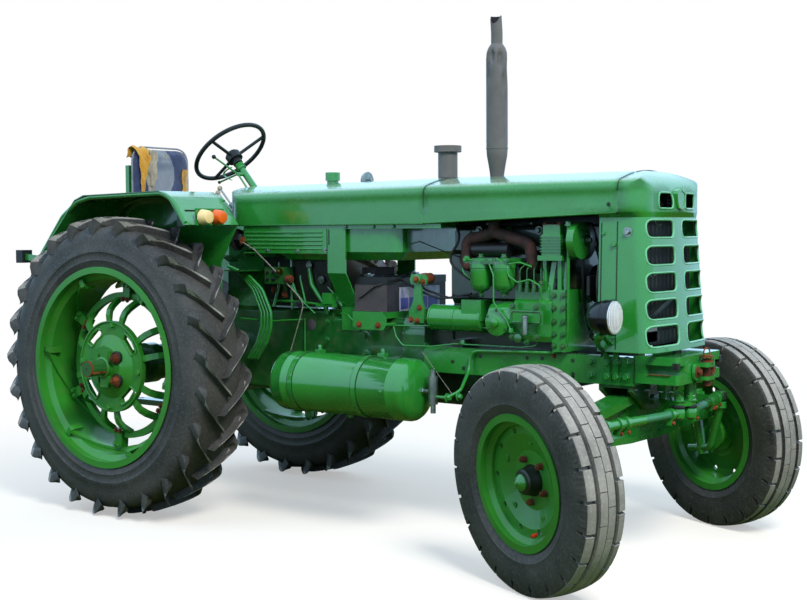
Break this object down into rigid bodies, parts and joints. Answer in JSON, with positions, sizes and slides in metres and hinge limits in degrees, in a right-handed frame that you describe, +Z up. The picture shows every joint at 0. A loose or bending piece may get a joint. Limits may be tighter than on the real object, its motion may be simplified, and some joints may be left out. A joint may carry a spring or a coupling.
{
  "type": "farm tractor",
  "caption": "Narrow-nosed farm tractor: spoked adjustable rear wheels, steered front wheels on a pivoting beam axle, upright exhaust, open driver seat, belt-driven air compressor and side air tank.",
  "frame": {"origin": "on the ground, midway between the tail lamps and the front of the front tyres, on the centreline", "axes": "+X forward, +Y to the left of the tractor, +Z up"},
  "size_m": [3.88, 2.112, 2.4399],
  "materials": {
    "tyre": "worn grey-black rubber",
    "green_paint": "gloss mid-green paint, chipped in places",
    "bare_steel": "dull turned steel",
    "rusty_steel": "rusted and heat-browned",
    "black_paint": "dark grey-black paint",
    "black_plastic": "black, worn",
    "cast_aluminium": "cast, matt",
    "seat_cloth": "ragged navy and ochre cloth",
    "lamp_plastic": "cream and orange lamp covers"
  },
  "bodies": {
    "chassis": {"air_compressor": "green_paint", "air_precleaner": "black_paint", "air_regulator": "cast_aluminium", "air_tank": "green_paint", "air_tank_straps": "green_paint", "axle_hanger": "green_paint", "battery": "black_plastic", "battery_tray": "green_paint", "clutch_housing": "green_paint", "control_levers": "green_paint", "cooling_fan": "black_paint", "drawbar": "green_paint", "engine_block": "green_paint", "engine_cover": "green_paint", "exhaust_manifold": "rusty_steel", "exhaust_stack": "black_paint", "fender_lamps": "lamp_plastic", "fenders": "green_paint", "frame_rails": "green_paint", "front_axle_beam": "green_paint", "front_casting": "green_paint", "fuel_filters": "green_paint", "fuel_tank": "green_paint", "gearbox": "green_paint", "headlamp": "black_paint", "injection_pump": "green_paint", "nose_cowl": "green_paint", "oil_sump": "green_paint", "pedals": "green_paint", "platform": "green_paint", "radiator": "green_paint", "rear_axle_housing": "green_paint", "seat_back": "seat_cloth", "seat_cushion": "seat_cloth", "seat_frame": "green_paint", "side_panels": "green_paint", "starter_motor": "green_paint", "steering_column": "green_paint", "steering_console": "green_paint", "tank_cover": "green_paint", "tank_supports": "green_paint", "tow_pin": "rusty_steel"},
    "right_rear_wheel": {"right_rear_rim": "green_paint", "right_rear_tyre": "tyre", "right_axle_shaft": "bare_steel"},
    "left_rear_wheel": {"left_rear_rim": "green_paint", "left_rear_tyre": "tyre", "left_axle_shaft": "bare_steel"},
    "right_front_wheel": {"right_front_rim": "green_paint", "right_front_tyre": "tyre"},
    "left_front_wheel": {"left_front_rim": "green_paint", "left_front_tyre": "tyre"},
    "right_steering_knuckle": {"right_knuckle": "green_paint"},
    "left_steering_knuckle": {"left_knuckle": "green_paint"},
    "steering_arm": {"centre_steering_arm": "green_paint"},
    "right_rod": {"right_track_rod": "green_paint"},
    "left_rod": {"left_track_rod": "green_paint"},
    "hand_wheel": {"steering_wheel": "black_plastic"}
  },
  "joints": [
    {"name": "right_rear_wheel_spin", "type": "hinge", "parent": "chassis", "child": "right_rear_wheel", "pos_m": [-1.09538, -0.712, 0.762], "axis": [0, 1, 0], "continuous": true},
    {"name": "left_rear_wheel_spin", "type": "hinge", "parent": "chassis", "child": "left_rear_wheel", "pos_m": [-1.09538, 0.712, 0.762], "axis": [0, 1, 0], "continuous": true},
    {"name": "right_front_wheel_steer", "type": "hinge", "parent": "chassis", "child": "right_steering_knuckle", "pos_m": [1.44462, -0.70233, 0.46542], "axis": [-0.1564, 0, 0.9877], "range_deg": [-15, 61]},
    {"name": "right_front_wheel_spin", "type": "hinge", "parent": "right_steering_knuckle", "child": "right_front_wheel", "pos_m": [1.40142, -0.80532, 0.45701], "axis": [0.3857, 0.9196, 0.0751], "continuous": true},
    {"name": "left_front_wheel_steer", "type": "hinge", "parent": "chassis", "child": "left_steering_knuckle", "pos_m": [1.44462, 0.69761, 0.45173], "axis": [-0.1564, 0, 0.9877], "range_deg": [-15.5, 61.5]},
    {"name": "left_front_wheel_spin", "type": "hinge", "parent": "left_steering_knuckle", "child": "left_front_wheel", "pos_m": [1.48786, 0.80079, 0.45701], "axis": [0.3861, 0.9213, 0.0472], "continuous": true},
    {"name": "steering_arm_swing", "type": "hinge", "parent": "chassis", "child": "steering_arm", "pos_m": [1.58462, 0, 0.7], "axis": [0, 0, 1], "range_deg": [-18.09, 72.03]},
    {"name": "left_rod_pivot", "type": "hinge", "parent": "steering_arm", "child": "left_rod", "pos_m": [1.71428, -0.03889, 0.662], "axis": [0, 0, 1], "range_deg": [-78.05, 19.57]},
    {"name": "right_rod_pivot", "type": "hinge", "parent": "steering_arm", "child": "right_rod", "pos_m": [1.68473, -0.09111, 0.662], "axis": [0, 0, 1], "range_deg": [-79.44, 19.91]},
    {"name": "hand_wheel_turn", "type": "hinge", "parent": "chassis", "child": "hand_wheel", "pos_m": [-0.98078, 0, 1.84265], "axis": [-0.6652, 0, 0.7466], "range_deg": [-272, 1100]}
  ],
  "couplings": [
    {"joint": "left_front_wheel_steer", "follows": "right_front_wheel_steer", "ratio": 1},
    {"joint": "steering_arm_swing", "follows": "right_front_wheel_steer", "ratio": 1.1727},
    {"joint": "left_rod_pivot", "follows": "right_front_wheel_steer", "ratio": -1.2713},
    {"joint": "right_rod_pivot", "follows": "right_front_wheel_steer", "ratio": -1.2942},
    {"joint": "hand_wheel_turn", "follows": "right_front_wheel_steer", "ratio": 18}
  ]
}
